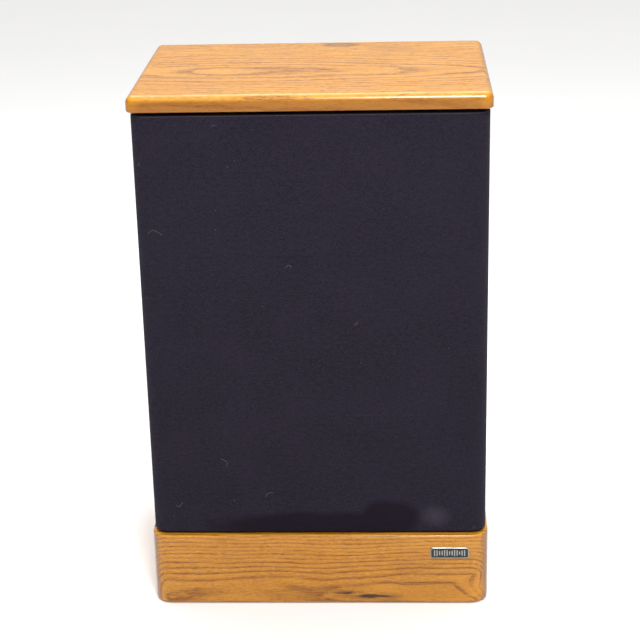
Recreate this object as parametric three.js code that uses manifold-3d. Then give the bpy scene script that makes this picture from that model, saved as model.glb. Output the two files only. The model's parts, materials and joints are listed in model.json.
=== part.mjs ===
// A two-way sealed loudspeaker: an oak cap and base round a black cabinet with a pull-off cloth grille.
// Millimetres, +Z up, the front faces -Y, and the origin is the middle of the footprint on the floor.
import * as THREE from "three";
import { mergeVertices } from "three/addons/utils/BufferGeometryUtils.js";
import Module from "manifold-3d";

const wasm = await Module();
wasm.setup();

// Driving dimensions
const HEIGHT = 538;
const DEPTH = 245; // of the cap and the base
const CABINET_WIDTH = 340;
const SIDE_LIP = 2.5; // how far the cap and base stand out past the cabinet on each side
const FRONT_LIP = 4; // and past the grille in front
const CAP_THICKNESS = 16;
const PLINTH_HEIGHT = 79;
const BOARD = 20; // thickness of the base boards
const PANEL = 18; // thickness of the cabinet panels
const GLUE_LINE = 0.3; // gap between pieces that touch
const BACK_INSET = 1; // cabinet's back edge, in from the cap's
const BACK_REBATE = 4; // back panel, in from the cabinet's back edge

// Grille
const GRILLE_DEPTH = 20.5;
const GRILLE_TOP_GAP = 2.7;
const GRILLE_FOOT_GAP = 2;
const GRILLE_CORNER = 15;
const CLOTH = 0.6;
const RAIL = 16;
const CROSS_BAR_Z = 374;
const CROSS_BAR_DEPTH = 8;
const PEG_X = 138;
const PEG_Z = [110, 491];
const PEG_RADIUS = 4;
const PEG_LENGTH = 11;

// Woofer
const WOOFER_Z = 236;
const WOOFER_RADIUS = 128;
const WOOFER_HOLE = 116.5;
const WOOFER_SCREW_CIRCLE = 123.5;
const CONE_LIP = 97;
const COIL_RADIUS = 20;
const MAGNET_RADIUS = 60;

// Tweeter
const TWEETER_Z = 436;
const TWEETER_RADIUS = 52;
const TWEETER_HOLE = 38;
const TWEETER_SCREW_CIRCLE = 45;
const DOME_RADIUS = 12.5;

// Input panel
const CUP_Z = 160;
const CUP_FLANGE = [112, 76];
const CUP_BODY = [92, 56];
const CUP_WALL = 2;
const LEVER_X = 19;
const LEVER_LENGTH = 22;
const LEVER_WIDTH = 18;
const LEVER_TILT = THREE.MathUtils.degToRad(18);
const LEVER_PIN = 2.2;
const LEVER_HEIGHT = 4.2; // pin above the cup's floor
const LEVER_PIN_Z = CUP_Z - 7;

// Places worked out from them
const CAP_WIDTH = CABINET_WIDTH + 2 * SIDE_LIP;
const FRONT_Y = -DEPTH / 2;
const BACK_Y = DEPTH / 2;
const GRILLE_Y = FRONT_Y + FRONT_LIP;
const CABINET_FRONT_Y = GRILLE_Y + GRILLE_DEPTH;
const CABINET_BACK_Y = BACK_Y - BACK_INSET;
const BAFFLE_Y = CABINET_FRONT_Y + 2;
const REAR_OUTSIDE_Y = CABINET_BACK_Y - BACK_REBATE;
const REAR_INSIDE_Y = REAR_OUTSIDE_Y - PANEL;
const CAP_Z = HEIGHT - CAP_THICKNESS;
const BOX_BOTTOM = PLINTH_HEIGHT + GLUE_LINE;
const BOX_TOP = CAP_Z - GLUE_LINE;
const INNER_X = CABINET_WIDTH / 2 - PANEL;
const INNER_BOTTOM = BOX_BOTTOM + PANEL + GLUE_LINE;
const INNER_TOP = BOX_TOP - PANEL - GLUE_LINE;
const GRILLE_BOTTOM = PLINTH_HEIGHT + GRILLE_FOOT_GAP;
const GRILLE_TOP = CAP_Z - GRILLE_TOP_GAP;
const FRAME_FRONT_Y = GRILLE_Y + CLOTH + GLUE_LINE;
const FRAME_BACK_Y = CABINET_FRONT_Y - GLUE_LINE;
const CUP_FLOOR_Y = REAR_INSIDE_Y;

// Finishes
const FINISHES = {
  oak: { color: 0xc98a45, roughness: 0.35, metalness: 0 },
  vinyl: { color: 0x17171a, roughness: 0.6, metalness: 0 },
  board: { color: 0x8a6f4e, roughness: 0.8, metalness: 0 },
  baffle_paint: { color: 0x1b1b1d, roughness: 0.7, metalness: 0 },
  cloth: { color: 0x2a2732, roughness: 0.95, metalness: 0 },
  black_plastic: { color: 0x18181a, roughness: 0.45, metalness: 0 },
  red_plastic: { color: 0xa81c1c, roughness: 0.4, metalness: 0 },
  black_steel: { color: 0x222326, roughness: 0.45, metalness: 0.6 },
  zinc: { color: 0xb9bcc0, roughness: 0.35, metalness: 0.9 },
  ferrite: { color: 0x3b3c40, roughness: 0.7, metalness: 0.1 },
  paper: { color: 0x24231f, roughness: 0.9, metalness: 0 },
  foam: { color: 0x1d1d1e, roughness: 0.85, metalness: 0 },
  silk: { color: 0x33302e, roughness: 0.7, metalness: 0 },
  spider_cloth: { color: 0xb58a3a, roughness: 0.9, metalness: 0 },
  copper: { color: 0xb8733a, roughness: 0.35, metalness: 0.9 },
  board_green: { color: 0x2f5b3c, roughness: 0.5, metalness: 0 },
  capacitor_yellow: { color: 0xc9a13a, roughness: 0.4, metalness: 0 },
  ceramic: { color: 0xd8d5cb, roughness: 0.6, metalness: 0 },
  lead: { color: 0x2a2a2a, roughness: 0.5, metalness: 0 },
  wadding: { color: 0xdedbd0, roughness: 1, metalness: 0 },
  badge_metal: { color: 0xb5b9b8, roughness: 0.3, metalness: 0.9 },
};

const speaker = new THREE.Group();

function addPiece(name, finish, geometry) {
  const mesh = new THREE.Mesh(geometry, new THREE.MeshStandardMaterial(FINISHES[finish]));
  mesh.name = name;
  speaker.add(mesh);
  return mesh;
}

// Solids: from a geometry, and back again after joining and cutting
function solid(geometry) {
  const bare = geometry.clone();
  bare.deleteAttribute("normal");
  bare.deleteAttribute("uv");
  const merged = mergeVertices(bare, 1e-4);
  return new wasm.Manifold(
    new wasm.Mesh({
      numProp: 3,
      vertProperties: merged.attributes.position.array,
      triVerts: new Uint32Array(merged.index.array),
    }),
  );
}

function geometryOf(manifold) {
  const mesh = manifold.getMesh();
  const geometry = new THREE.BufferGeometry();
  geometry.setAttribute("position", new THREE.BufferAttribute(mesh.vertProperties, 3));
  geometry.setIndex(new THREE.BufferAttribute(mesh.triVerts, 1));
  geometry.computeVertexNormals();
  return geometry;
}

function cut(geometry, tools) {
  return geometryOf(tools.reduce((whole, tool) => whole.subtract(solid(tool)), solid(geometry)));
}

function join(geometries) {
  return geometryOf(geometries.map(solid).reduce((whole, next) => whole.add(next)));
}

// Shapes
function box([x0, x1], [y0, y1], [z0, z1]) {
  const geometry = new THREE.BoxGeometry(x1 - x0, y1 - y0, z1 - z0);
  return geometry.translate((x0 + x1) / 2, (y0 + y1) / 2, (z0 + z1) / 2);
}

// A profile of [radius, y] points turned about a line along Y through (x, z).
function turned(profile, [x, z], segments = 32) {
  const area = profile.reduce((sum, [r, y], i) => {
    const [r2, y2] = profile[(i + 1) % profile.length];
    return sum + r * y2 - r2 * y;
  }, 0);
  const ordered = area > 0 ? profile : [...profile].reverse();
  const points = ordered.map(([r, y]) => new THREE.Vector2(r, y));
  if (ordered[0][0] > 0) points.push(points[0].clone());
  return new THREE.LatheGeometry(points, segments).translate(x, 0, z);
}

function rod(radius, [y0, y1], centre, segments = 16) {
  return turned([[0, y0], [radius, y0], [radius, y1], [0, y1]], centre, segments);
}

function ring(inner, outer, [y0, y1], centre, segments = 32) {
  return turned([[inner, y0], [outer, y0], [outer, y1], [inner, y1]], centre, segments);
}

// A rectangle with its own radius at each corner: front left, front right, back right, back left.
function roundedRectangle([x0, x1], [y0, y1], [frontLeft, frontRight, backRight, backLeft]) {
  const shape = new THREE.Shape();
  shape.moveTo(x0 + frontLeft, y0);
  shape.lineTo(x1 - frontRight, y0);
  if (frontRight) shape.absarc(x1 - frontRight, y0 + frontRight, frontRight, -Math.PI / 2, 0);
  shape.lineTo(x1, y1 - backRight);
  if (backRight) shape.absarc(x1 - backRight, y1 - backRight, backRight, 0, Math.PI / 2);
  shape.lineTo(x0 + backLeft, y1);
  if (backLeft) shape.absarc(x0 + backLeft, y1 - backLeft, backLeft, Math.PI / 2, Math.PI);
  shape.lineTo(x0, y0 + frontLeft);
  if (frontLeft) shape.absarc(x0 + frontLeft, y0 + frontLeft, frontLeft, Math.PI, 1.5 * Math.PI);
  return shape;
}

function upright(shape, [z0, z1], curveSegments = 5) {
  const settings = { depth: z1 - z0, bevelEnabled: false, curveSegments };
  return new THREE.ExtrudeGeometry(shape, settings).translate(0, 0, z0);
}

// The same with its top and bottom edges eased by the radius, which leaves the outline where it is.
function uprightEased(shape, [z0, z1], ease, curveSegments = 5) {
  const settings = {
    depth: z1 - z0 - 2 * ease,
    bevelThickness: ease,
    bevelSize: ease,
    bevelOffset: -ease,
    bevelSegments: 3,
    curveSegments,
  };
  return new THREE.ExtrudeGeometry(shape, settings).translate(0, 0, z0 + ease);
}

// A row of points round part of a circle in the [radius, y] plane.
function arc([r, y], radius, from, to, steps) {
  return Array.from({ length: steps + 1 }, (_, i) => {
    const angle = from + ((to - from) * i) / steps;
    return [r + radius * Math.cos(angle), y + radius * Math.sin(angle)];
  });
}

function onCircle(radius, angle, [x, z]) {
  return [x + radius * Math.cos(angle), z + radius * Math.sin(angle)];
}

// A pan-head screw driven along Y from the face at headY. inward is +1 from the front, -1 from the back.
function screw(centre, headY, length, inward, headRadius = 4, headHeight = 2.4, shank = 1.9) {
  const profile = [
    [0, headY - inward * headHeight],
    [headRadius * 0.75, headY - inward * headHeight],
    [headRadius, headY - inward * headHeight * 0.45],
    [headRadius, headY],
    [shank, headY],
    [shank, headY + inward * (length - 2 * shank)],
    [0, headY + inward * length],
  ];
  return turned(profile, centre, 12);
}

function lead(points, radius) {
  const path = new THREE.CatmullRomCurve3(points.map((p) => new THREE.Vector3(...p)));
  const section = new THREE.Shape().absarc(0, 0, radius, 0, 2 * Math.PI);
  const settings = { steps: 18, curveSegments: 4, extrudePath: path, bevelEnabled: false };
  return new THREE.ExtrudeGeometry(section, settings);
}

// Oak pieces
function addOak() {
  const half = CAP_WIDTH / 2;
  const capRound = 7;
  const capCorner = 8;
  const capShape = roundedRectangle([-half, half], [FRONT_Y, BACK_Y], Array(4).fill(capCorner));
  const capBlank = uprightEased(capShape, [CAP_Z - 2 * capRound, HEIGHT], capRound);
  const below = box([-half - 1, half + 1], [FRONT_Y - 1, BACK_Y + 1], [CAP_Z - 20, CAP_Z]);
  addPiece("top_cap", "oak", cut(capBlank, [below]));

  const plinthCorner = 18;
  const inner = half - BOARD;
  const frontShape = roundedRectangle([-half, half], [FRONT_Y, FRONT_Y + BOARD + 2], [plinthCorner, plinthCorner, 0, 0]);
  const frontBoard = uprightEased(frontShape, [0, PLINTH_HEIGHT], 2);
  addPiece("plinth_front", "oak", cut(frontBoard, [badgeBlank(GLUE_LINE)]));

  const sideY = [FRONT_Y + BOARD + 2 + GLUE_LINE, BACK_Y];
  addPiece("plinth_left", "oak", box([-half, -inner], sideY, [0, PLINTH_HEIGHT]));
  addPiece("plinth_right", "oak", box([inner, half], sideY, [0, PLINTH_HEIGHT]));
  const backX = [-inner + GLUE_LINE, inner - GLUE_LINE];
  addPiece("plinth_back", "oak", box(backX, [BACK_Y - BOARD, BACK_Y], [0, PLINTH_HEIGHT]));

  const corners = [[-1, -1], [1, -1], [1, 1], [-1, 1]];
  const blockLeg = 36;
  corners.forEach(([sx, sy], i) => {
    const x = sx * (inner - GLUE_LINE);
    const y = sy < 0 ? sideY[0] : BACK_Y - BOARD - GLUE_LINE;
    const triangle = [[x, y], [x - sx * blockLeg, y], [x, y - sy * blockLeg]];
    const ordered = sx * sy > 0 ? triangle : triangle.reverse();
    const shape = new THREE.Shape(ordered.map(([px, py]) => new THREE.Vector2(px, py)));
    addPiece(`plinth_corner_block_${i + 1}`, "board", upright(shape, [22, PLINTH_HEIGHT - GLUE_LINE]));
  });
}

// The badge, or with a margin the recess for it
function badgeBlank(margin) {
  const centre = [133, 59.5];
  const size = [39, 12];
  const thickness = 1.2;
  const x = [centre[0] - size[0] / 2 - margin, centre[0] + size[0] / 2 + margin];
  const z = [centre[1] - size[1] / 2 - margin, centre[1] + size[1] / 2 + margin];
  const front = margin ? FRONT_Y - 1 : FRONT_Y;
  return box(x, [front, FRONT_Y + thickness + margin], z);
}

// The box
function addCabinet() {
  const half = CABINET_WIDTH / 2;
  const y = [CABINET_FRONT_Y, CABINET_BACK_Y];
  const z = [BOX_BOTTOM, BOX_TOP];
  addPiece("cabinet_left_panel", "vinyl", box([-half, -INNER_X], y, z));
  addPiece("cabinet_right_panel", "vinyl", box([INNER_X, half], y, z));
  const x = [-INNER_X + GLUE_LINE, INNER_X - GLUE_LINE];
  addPiece("cabinet_bottom_panel", "board", box(x, y, [BOX_BOTTOM, BOX_BOTTOM + PANEL]));
  addPiece("cabinet_top_panel", "board", box(x, y, [BOX_TOP - PANEL, BOX_TOP]));

  const sheet = [INNER_BOTTOM, INNER_TOP];
  const baffleY = [BAFFLE_Y, BAFFLE_Y + PANEL];
  const through = [BAFFLE_Y - 1, BAFFLE_Y + PANEL + 1];
  const holes = [
    rod(WOOFER_HOLE, through, [0, WOOFER_Z], 48),
    rod(TWEETER_HOLE, through, [0, TWEETER_Z], 24),
    ...pegPlaces().map((place) => rod(7, through, place, 12)),
    ...wooferScrewPlaces().map((place) => rod(2.3, through, place, 8)),
    ...tweeterScrewPlaces().map((place) => rod(2.1, through, place, 8)),
  ];
  addPiece("front_baffle", "baffle_paint", cut(box(x, baffleY, sheet), holes));

  const backHoles = [
    cupBlock(CUP_BODY, [REAR_INSIDE_Y - 1, REAR_OUTSIDE_Y + 1], GLUE_LINE),
    ...cupScrewPlaces().map((place) => rod(2.1, [REAR_INSIDE_Y - 1, REAR_OUTSIDE_Y + 1], place, 8)),
  ];
  const backPanel = box(x, [REAR_INSIDE_Y, REAR_OUTSIDE_Y], sheet);
  addPiece("back_panel", "vinyl", cut(backPanel, backHoles));
  addPiece("damping_batt", "wadding", box([-115, 115], [62, REAR_INSIDE_Y - 2], [250, 480]));
}

// Grille
function pegPlaces() {
  return PEG_Z.flatMap((z) => [[-PEG_X, z], [PEG_X, z]]);
}

function addGrille() {
  const half = CABINET_WIDTH / 2;
  const wrap = CLOTH + GLUE_LINE;
  const clothY = [GRILLE_Y, FRAME_BACK_Y];
  const rounded = [GRILLE_CORNER, GRILLE_CORNER, 0, 0];
  const outside = roundedRectangle([-half, half], clothY, rounded);
  const inCorner = GRILLE_CORNER - CLOTH;
  const insideShape = roundedRectangle(
    [-half + CLOTH, half - CLOTH], [GRILLE_Y + CLOTH, FRAME_BACK_Y + 1], [inCorner, inCorner, 0, 0],
  );
  const inside = upright(insideShape, [GRILLE_BOTTOM + CLOTH, GRILLE_TOP - CLOTH]);
  addPiece("grille_cloth", "cloth", cut(upright(outside, [GRILLE_BOTTOM, GRILLE_TOP]), [inside]));

  const frameCorner = GRILLE_CORNER - wrap;
  const frameShape = roundedRectangle(
    [-half + wrap, half - wrap], [FRAME_FRONT_Y, FRAME_BACK_Y], [frameCorner, frameCorner, 0, 0],
  );
  const low = GRILLE_BOTTOM + wrap;
  const high = GRILLE_TOP - wrap;
  const openX = [-half + wrap + RAIL, half - wrap - RAIL];
  const openY = [FRAME_FRONT_Y - 1, FRAME_BACK_Y + 1];
  const halfBar = 8;
  const windows = [
    box(openX, openY, [low + RAIL, CROSS_BAR_Z - halfBar]),
    box(openX, openY, [CROSS_BAR_Z + halfBar, high - RAIL]),
    box(openX, [FRAME_FRONT_Y + CROSS_BAR_DEPTH, FRAME_BACK_Y + 1], [low + RAIL, high - RAIL]),
  ];
  const rails = cut(upright(frameShape, [low, high]), windows);
  const bosses = pegPlaces().flatMap(([x, z]) => {
    const side = Math.sign(x);
    const reach = [side * 130, side * (openX[1] + 4)].sort((a, b) => a - b);
    return [
      box(reach, [FRAME_BACK_Y - 10, FRAME_BACK_Y], [z - 8, z + 8]),
      turned(
        [
          [0, FRAME_BACK_Y - 2],
          [PEG_RADIUS, FRAME_BACK_Y - 2],
          [PEG_RADIUS, FRAME_BACK_Y + PEG_LENGTH - 1.5],
          [PEG_RADIUS - 1.5, FRAME_BACK_Y + PEG_LENGTH],
          [0, FRAME_BACK_Y + PEG_LENGTH],
        ],
        [x, z],
        12,
      ),
    ];
  });
  addPiece("grille_frame", "black_plastic", join([rails, ...bosses]));

  pegPlaces().forEach((place, i) => {
    const mouth = BAFFLE_Y - 1.2;
    const end = BAFFLE_Y + 13;
    const bore = PEG_RADIUS + 0.3;
    const profile = [
      [0, end], [6.5, end], [6.5, BAFFLE_Y - GLUE_LINE], [8.5, BAFFLE_Y - GLUE_LINE],
      [8.5, mouth], [bore, mouth], [bore, end - 1.5], [0, end - 1.5],
    ];
    addPiece(`grille_socket_${i + 1}`, "black_plastic", turned(profile, place, 12));
  });
}

// Woofer. Depths count back from the baffle's face.
const wooferCentre = [0, WOOFER_Z];
const behindBaffle = (profile) => profile.map(([r, depth]) => [r, BAFFLE_Y + depth]);

function wooferScrewPlaces() {
  return [0, 1, 2, 3].map((i) => onCircle(WOOFER_SCREW_CIRCLE, Math.PI / 4 + (i * Math.PI) / 2, wooferCentre));
}

function wooferTurned(profile, segments = 32) {
  return turned(behindBaffle(profile), wooferCentre, segments);
}

function addWooferFrame() {
  const screwHoles = wooferScrewPlaces().map((place) => rod(2.3, [BAFFLE_Y - 9, BAFFLE_Y + 1], place, 8));
  const sheet = [
    [WOOFER_RADIUS, -2.8], [WOOFER_RADIUS, -0.3], [115.4, -0.3], [113, 10], [71, 54], [66, 56],
    [40, 56], [40, 65.5], [38, 65.5], [38, 54], [65, 54], [69, 52.5], [111, 9], [113.4, -2.8],
  ];
  const windows = Array.from({ length: 6 }, (_, i) => {
    const opening = box([80, 104], [BAFFLE_Y + 10, BAFFLE_Y + 60], [-26, 26]);
    opening.rotateY((i * Math.PI) / 3 + Math.PI / 6);
    return opening.translate(0, 0, WOOFER_Z);
  });
  addPiece("woofer_basket", "black_steel", cut(wooferTurned(sheet), [...windows, ...screwHoles]));
  const gasket = [[115.5, -7], [WOOFER_RADIUS - 0.5, -7], [WOOFER_RADIUS - 0.5, -4.2], [115.5, -4.2]];
  addPiece("woofer_gasket", "foam", cut(wooferTurned(gasket), screwHoles));
  wooferScrewPlaces().forEach((place, i) => {
    addPiece(`woofer_screw_${i + 1}`, "black_steel", screw(place, BAFFLE_Y - 7.3, 20, 1));
  });

  const plate = { y: [BAFFLE_Y + 65.8, BAFFLE_Y + 71.8], bore: COIL_RADIUS + 1.4, radius: 50 };
  addPiece("woofer_top_plate", "zinc", ring(plate.bore, plate.radius, plate.y, wooferCentre, 24));
  const magnetY = [plate.y[1] + GLUE_LINE, plate.y[1] + GLUE_LINE + 20];
  addPiece("woofer_magnet", "ferrite", ring(32, MAGNET_RADIUS, magnetY, wooferCentre, 24));
  const poleBack = magnetY[1] + GLUE_LINE;
  const poleRadius = COIL_RADIUS - 1.7;
  const pole = [
    [0, plate.y[0]], [poleRadius, plate.y[0]], [poleRadius, poleBack],
    [50, poleBack], [50, poleBack + 6], [0, poleBack + 6],
  ];
  addPiece("woofer_pole_piece", "zinc", turned(pole, wooferCentre, 24));
}

function addWooferMovingParts() {
  const lip = [CONE_LIP, 5.3];
  const neck = [COIL_RADIUS + 0.9, 38];
  const sheet = 1.1;
  const cone = [
    [lip[0] - 6, lip[1]], [lip[0] + 1, lip[1]], [lip[0] + 1, lip[1] + sheet],
    [lip[0] - 5, lip[1] + sheet], [64, 20 + sheet], [neck[0] + 1, neck[1] + sheet],
    [neck[0], neck[1] + sheet], [neck[0], neck[1]], [63, 20],
  ];
  addPiece("woofer_cone", "paper", wooferTurned(cone));

  // The roll hangs from the frame's flange and drops to the cone's lip.
  const outerLip = -3.1;
  const rollCentre = [107, outerLip - 0.8];
  const outer = arc(rollCentre, 8, 0, -Math.PI, 5);
  const inner = arc(rollCentre, 7.2, -Math.PI, 0, 5);
  const surround = [
    [119.5, outerLip - 0.8], ...outer, [98.6, 4.2], [91, 4.2], [91, 5], [99.4, 5], ...inner,
    [115, outerLip], [119.5, outerLip],
  ];
  addPiece("woofer_surround", "foam", wooferTurned(surround));

  const capEdge = 27;
  const capDepth = 31.6;
  const capRise = 10;
  const sphere = (capEdge ** 2 + capRise ** 2) / (2 * capRise);
  const sweep = Math.asin(capEdge / sphere);
  const shell = (radius, from, to) => arc([0, capDepth - capRise + sphere], radius, from, to, 4);
  const bottom = -Math.PI / 2;
  const dustCap = [
    ...shell(sphere, bottom, bottom + sweep),
    ...shell(sphere - 0.8, bottom + sweep, bottom),
  ];
  addPiece("woofer_dust_cap", "paper", wooferTurned(dustCap, 20));

  const former = [[COIL_RADIUS - 0.6, 34], [COIL_RADIUS, 34], [COIL_RADIUS, 76], [COIL_RADIUS - 0.6, 76]];
  addPiece("woofer_voice_coil", "copper", wooferTurned(former, 24));

  const waves = Array.from({ length: 6 }, (_, i) => [24 + i * 7, 45 + i * 1.3 + (i % 2 ? 1 : -1)]);
  const inside = [COIL_RADIUS + 0.5, 44];
  const outside = [64, 53.2];
  const spider = [
    inside, ...waves, outside,
    [outside[0], outside[1] + 0.6], ...waves.map(([r, d]) => [r, d + 0.6]).reverse(),
    [inside[0], inside[1] + 0.6],
  ];
  addPiece("woofer_spider", "spider_cloth", wooferTurned(spider, 24));
}

// Tweeter
const tweeterCentre = [0, TWEETER_Z];

function tweeterScrewPlaces() {
  return [0, 1, 2].map((i) => onCircle(TWEETER_SCREW_CIRCLE, Math.PI / 2 + (i * 2 * Math.PI) / 3, tweeterCentre));
}

function tweeterTurned(profile, segments = 20) {
  return turned(behindBaffle(profile), tweeterCentre, segments);
}

function addTweeter() {
  const face = [
    [TWEETER_RADIUS, -3.6], [TWEETER_RADIUS, -0.3], [16, -0.3], [16, -0.9], [23, -3.4],
    [26, -4.3], [TWEETER_RADIUS - 0.7, -4.3],
  ];
  const holes = tweeterScrewPlaces().map((place) => rod(2.1, [BAFFLE_Y - 6, BAFFLE_Y + 1], place, 8));
  addPiece("tweeter_faceplate", "black_plastic", cut(tweeterTurned(face, 32), holes));
  tweeterScrewPlaces().forEach((place, i) => {
    addPiece(`tweeter_screw_${i + 1}`, "black_steel", screw(place, BAFFLE_Y - 4.6, 16, 1, 3.4, 2, 1.7));
  });

  const rise = 6;
  const sphere = (DOME_RADIUS ** 2 + rise ** 2) / (2 * rise);
  const sweep = Math.asin(DOME_RADIUS / sphere);
  const seat = 1.6;
  const bottom = -Math.PI / 2;
  const shell = (radius, from, to) => arc([0, seat - rise + sphere], radius, from, to, 4);
  const dome = [
    ...shell(sphere, bottom, bottom + sweep), [13.6, 1.0], [15.2, 0.5], [17, 1.4], [17.6, 1.4],
    [17.6, 2], [16.6, 2], [15.2, 1.1], [13.4, 1.9], [12.9, 1.9], [12.9, 7.5], [12.4, 7.5],
    ...shell(sphere - 0.5, bottom + sweep, bottom),
  ];
  addPiece("tweeter_dome", "silk", tweeterTurned(dome));

  const plate = [[13.6, 3.2], [35, 3.2], [35, 6.5], [13.6, 6.5]];
  const bore = DOME_RADIUS - 0.8;
  const pole = [[0, 3.2], [bore, 3.2], [bore, 21], [35, 21], [35, 26], [0, 26]];
  addPiece("tweeter_top_plate", "zinc", tweeterTurned(plate));
  addPiece("tweeter_magnet", "ferrite", tweeterTurned([[20, 6.8], [35, 6.8], [35, 20.7], [20, 20.7]]));
  addPiece("tweeter_back_plate", "zinc", tweeterTurned(pole));
}

// Crossover and the leads held inside
function addCrossover() {
  const deck = INNER_BOTTOM + 5;
  const top = deck + 1.6;
  const feet = [[-55, 15], [55, 15], [-55, 85], [55, 85]].map(([x, y]) =>
    box([x - 3, x + 3], [y - 3, y + 3], [INNER_BOTTOM, deck + 0.5]),
  );
  addPiece("crossover_board", "board_green", join([box([-60, 60], [10, 90], [deck, top]), ...feet]));
  const rest = top + GLUE_LINE;
  const coil = ring(12, 24, [0, 22], [0, 0], 24).rotateX(Math.PI / 2).translate(-30, 50, rest);
  addPiece("crossover_inductor", "copper", coil);
  const can = rod(10, [-22, 22], [0, 0], 18).rotateZ(Math.PI / 2).translate(28, 28, rest + 10);
  addPiece("crossover_capacitor", "capacitor_yellow", can);
  addPiece("crossover_resistor", "ceramic", box([4, 52], [58, 67], [rest, rest + 9]));

  const cupBack = CUP_FLOOR_Y - CUP_WALL - GLUE_LINE;
  addPiece("input_lead", "lead", lead(
    [[LEVER_X, cupBack, 150], [LEVER_X, 90, 149], [34, 84, 138], [51, 80, 124], [52, 80, rest + 8], [52, 80, rest]], 1.6,
  ));
  addPiece("woofer_lead", "lead", lead(
    [[-52, 20, rest], [-52, 20, rest + 10], [-53, 14, 132], [-58, 4, 150], [-64, -16, 168], [-66, -30, 176]], 1.6,
  ));
  addPiece("tweeter_lead", "lead", lead(
    [[54, 22, rest], [55, 22, rest + 10], [84, 22, 132], [126, 20, 170], [136, 18, 260], [134, 10, 360],
      [104, -16, 426], [54, -40, 442], [26, -50, 446], [20, -58, 447], [20, -67.9, 447]], 1.6,
  ));
}

// Input panel
function cupBlock([width, height], y, margin = 0) {
  const x = width / 2 + margin;
  const z = height / 2 + margin;
  return box([-x, x], y, [CUP_Z - z, CUP_Z + z]);
}

function cupScrewPlaces() {
  const x = CUP_FLANGE[0] / 2 - 5;
  const z = CUP_FLANGE[1] / 2 - 5;
  return [[-x, CUP_Z - z], [x, CUP_Z - z], [x, CUP_Z + z], [-x, CUP_Z + z]];
}

function addInputPanel() {
  const gasketY = [REAR_OUTSIDE_Y + GLUE_LINE, REAR_OUTSIDE_Y + 0.8];
  const flangeY = [gasketY[1] + 0.2, gasketY[1] + 2];
  const holes = cupScrewPlaces().map((place) => rod(2.1, [gasketY[0] - 1, BACK_Y], place, 8));
  const gasket = cupBlock(CUP_FLANGE, gasketY, -0.5);
  const bodyHole = cupBlock(CUP_BODY, [gasketY[0] - 1, BACK_Y], GLUE_LINE);
  addPiece("terminal_gasket", "foam", cut(gasket, [bodyHole, ...holes]));

  const shell = join([
    cupBlock(CUP_FLANGE, flangeY),
    cupBlock(CUP_BODY, [CUP_FLOOR_Y - CUP_WALL, flangeY[1]]),
  ]);
  const recess = cupBlock(CUP_BODY, [CUP_FLOOR_Y, BACK_Y], -CUP_WALL);
  const wireHoles = [-LEVER_X, LEVER_X].map((x) =>
    rod(1.6, [CUP_FLOOR_Y - CUP_WALL - 1, CUP_FLOOR_Y + 1], [x, LEVER_PIN_Z - 8], 10),
  );
  const pinY = CUP_FLOOR_Y + LEVER_HEIGHT;
  const cheeks = [-LEVER_X, LEVER_X].flatMap((x) =>
    [-1, 1].map((side) => {
      const inner = x + side * (LEVER_WIDTH / 2 + 0.4);
      const reach = [inner, inner + side * 2].sort((a, b) => a - b);
      return box(reach, [CUP_FLOOR_Y - 1, pinY + LEVER_PIN], [LEVER_PIN_Z - 4, LEVER_PIN_Z + 4]);
    }),
  );
  addPiece("terminal_cup", "black_plastic", join([cut(shell, [recess, ...wireHoles, ...holes]), ...cheeks]));

  [[-LEVER_X, "terminal_lever_black", "black_plastic"], [LEVER_X, "terminal_lever_red", "red_plastic"]].forEach(
    ([x, name, finish]) => {
      const halfWidth = LEVER_WIDTH / 2;
      const plate = box([-halfWidth, halfWidth], [-1.5, 1.5], [0, LEVER_LENGTH]);
      const pad = box([-halfWidth, halfWidth], [-1.5, 3.2], [LEVER_LENGTH - 6, LEVER_LENGTH]);
      const pin = new THREE.CylinderGeometry(LEVER_PIN, LEVER_PIN, LEVER_WIDTH, 12).rotateZ(Math.PI / 2);
      const lever = join([plate, pad, pin]).rotateX(-LEVER_TILT).translate(x, pinY, LEVER_PIN_Z);
      addPiece(name, finish, lever);
    },
  );
  cupScrewPlaces().forEach((place, i) => {
    addPiece(`terminal_screw_${i + 1}`, "black_steel", screw(place, flangeY[1] + 0.2, 14, -1, 3.4, 1.8, 1.7));
  });
}

addOak();
addPiece("badge_plate", "badge_metal", badgeBlank(0));
addCabinet();
addGrille();
addWooferFrame();
addWooferMovingParts();
addTweeter();
addCrossover();
addInputPanel();

export default speaker;
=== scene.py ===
import json
import math
import random

import bpy
from mathutils import Matrix, Vector


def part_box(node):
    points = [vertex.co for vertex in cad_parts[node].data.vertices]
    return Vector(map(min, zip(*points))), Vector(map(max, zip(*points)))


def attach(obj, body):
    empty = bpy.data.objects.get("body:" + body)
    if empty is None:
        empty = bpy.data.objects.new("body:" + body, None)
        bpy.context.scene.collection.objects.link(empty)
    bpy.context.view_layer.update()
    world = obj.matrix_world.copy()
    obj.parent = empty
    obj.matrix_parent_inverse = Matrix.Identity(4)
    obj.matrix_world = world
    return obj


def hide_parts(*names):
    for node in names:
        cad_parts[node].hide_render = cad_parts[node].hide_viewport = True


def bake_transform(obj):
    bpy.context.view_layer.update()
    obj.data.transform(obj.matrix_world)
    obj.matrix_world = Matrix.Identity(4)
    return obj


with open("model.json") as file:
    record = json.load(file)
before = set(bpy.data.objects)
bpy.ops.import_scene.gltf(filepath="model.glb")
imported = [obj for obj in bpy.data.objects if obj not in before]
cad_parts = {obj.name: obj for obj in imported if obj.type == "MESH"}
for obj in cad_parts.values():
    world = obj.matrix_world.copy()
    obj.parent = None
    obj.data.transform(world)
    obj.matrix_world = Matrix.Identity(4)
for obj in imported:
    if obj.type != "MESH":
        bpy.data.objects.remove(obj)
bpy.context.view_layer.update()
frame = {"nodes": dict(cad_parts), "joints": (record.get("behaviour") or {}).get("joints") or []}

MM = 0.001
ON_AXIS = 1e-7
rng = random.Random(11)


# ---- node graphs

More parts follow.
